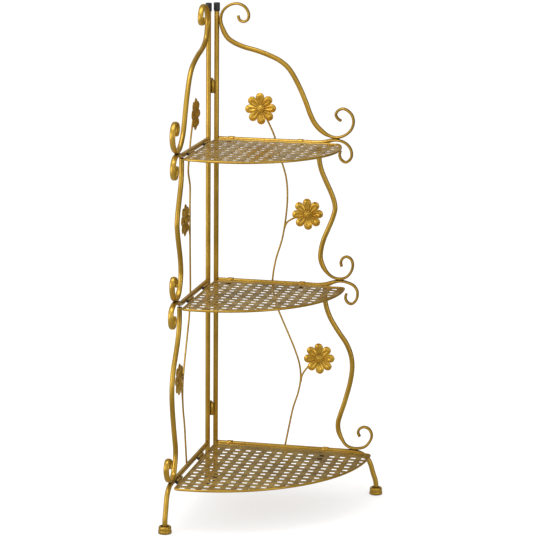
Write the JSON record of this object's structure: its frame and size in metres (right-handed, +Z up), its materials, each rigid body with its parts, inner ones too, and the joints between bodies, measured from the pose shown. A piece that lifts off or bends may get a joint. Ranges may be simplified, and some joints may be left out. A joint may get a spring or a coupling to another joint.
{
  "type": "plant_stand",
  "caption": "Folding corner plant stand in gold-painted steel tube: two scrolled side frames with flower sprays and quarter-round woven shelves that lift up on hinges",
  "frame": {"origin": "on the floor, under the middle of the overall bounding box", "axes": "+Z up; the left frame's plane is at -X and runs to the front along -Y; the right frame's plane is at +Y and runs along +X"},
  "size_m": [0.3992, 0.3992, 1.052],
  "materials": {
    "gold_paint": "satin metallic gold paint on steel tube, wire and pressed sheet",
    "rubber_black": "matte black caps and rings"
  },
  "bodies": {
    "left_frame": {"left_post": "gold_paint", "left_post_cap": "rubber_black", "left_post_foot_cap": "rubber_black", "left_top_rail": "gold_paint", "left_middle_rail": "gold_paint", "left_leg_rail": "gold_paint", "left_top_scroll": "gold_paint", "left_middle_scroll": "gold_paint", "left_bottom_scroll": "gold_paint", "left_foot": "gold_paint", "left_foot_ring": "rubber_black", "left_vine": "gold_paint", "left_top_flower": "gold_paint", "left_middle_flower": "gold_paint", "left_bottom_flower": "gold_paint", "left_hinge_pin_upper": "gold_paint", "left_hinge_pin_lower": "gold_paint", "top_shelf_pin_rear": "gold_paint", "top_shelf_pin_front": "gold_paint", "middle_shelf_pin_rear": "gold_paint", "middle_shelf_pin_front": "gold_paint", "bottom_shelf_pin_rear": "gold_paint", "bottom_shelf_pin_front": "gold_paint"},
    "right_frame": {"right_post": "gold_paint", "right_post_cap": "rubber_black", "right_post_foot_cap": "rubber_black", "right_top_rail": "gold_paint", "right_middle_rail": "gold_paint", "right_leg_rail": "gold_paint", "right_top_scroll": "gold_paint", "right_middle_scroll": "gold_paint", "right_bottom_scroll": "gold_paint", "right_foot": "gold_paint", "right_foot_ring": "rubber_black", "right_vine": "gold_paint", "right_top_flower": "gold_paint", "right_middle_flower": "gold_paint", "right_bottom_flower": "gold_paint", "right_hinge_barrel_upper": "gold_paint", "right_hinge_barrel_lower": "gold_paint", "right_top_rest_rear": "gold_paint", "right_top_rest_front": "gold_paint", "right_middle_rest_rear": "gold_paint", "right_middle_rest_front": "gold_paint", "right_bottom_rest_rear": "gold_paint", "right_bottom_rest_front": "gold_paint"},
    "top_shelf": {"top_shelf_sheet": "gold_paint", "top_shelf_rim": "gold_paint", "top_shelf_barrel_rear": "gold_paint", "top_shelf_barrel_front": "gold_paint"},
    "middle_shelf": {"middle_shelf_sheet": "gold_paint", "middle_shelf_rim": "gold_paint", "middle_shelf_barrel_rear": "gold_paint", "middle_shelf_barrel_front": "gold_paint"},
    "bottom_shelf": {"bottom_shelf_sheet": "gold_paint", "bottom_shelf_rim": "gold_paint", "bottom_shelf_barrel_rear": "gold_paint", "bottom_shelf_barrel_front": "gold_paint"}
  },
  "joints": [
    {"name": "frame_hinge", "type": "hinge", "parent": "left_frame", "child": "right_frame", "pos_m": [-0.17822, 0.17878, 0.5], "axis": [0, 0, 1], "range_deg": [0, 90]},
    {"name": "top_shelf_hinge", "type": "hinge", "parent": "left_frame", "child": "top_shelf", "pos_m": [-0.17577, 0.04778, 0.761], "axis": [0, -1, 0], "range_deg": [0, 88]},
    {"name": "middle_shelf_hinge", "type": "hinge", "parent": "left_frame", "child": "middle_shelf", "pos_m": [-0.17577, 0.04328, 0.454], "axis": [0, -1, 0], "range_deg": [0, 88]},
    {"name": "bottom_shelf_hinge", "type": "hinge", "parent": "left_frame", "child": "bottom_shelf", "pos_m": [-0.17577, -0.02172, 0.091], "axis": [0, -1, 0], "range_deg": [0, 88]}
  ]
}
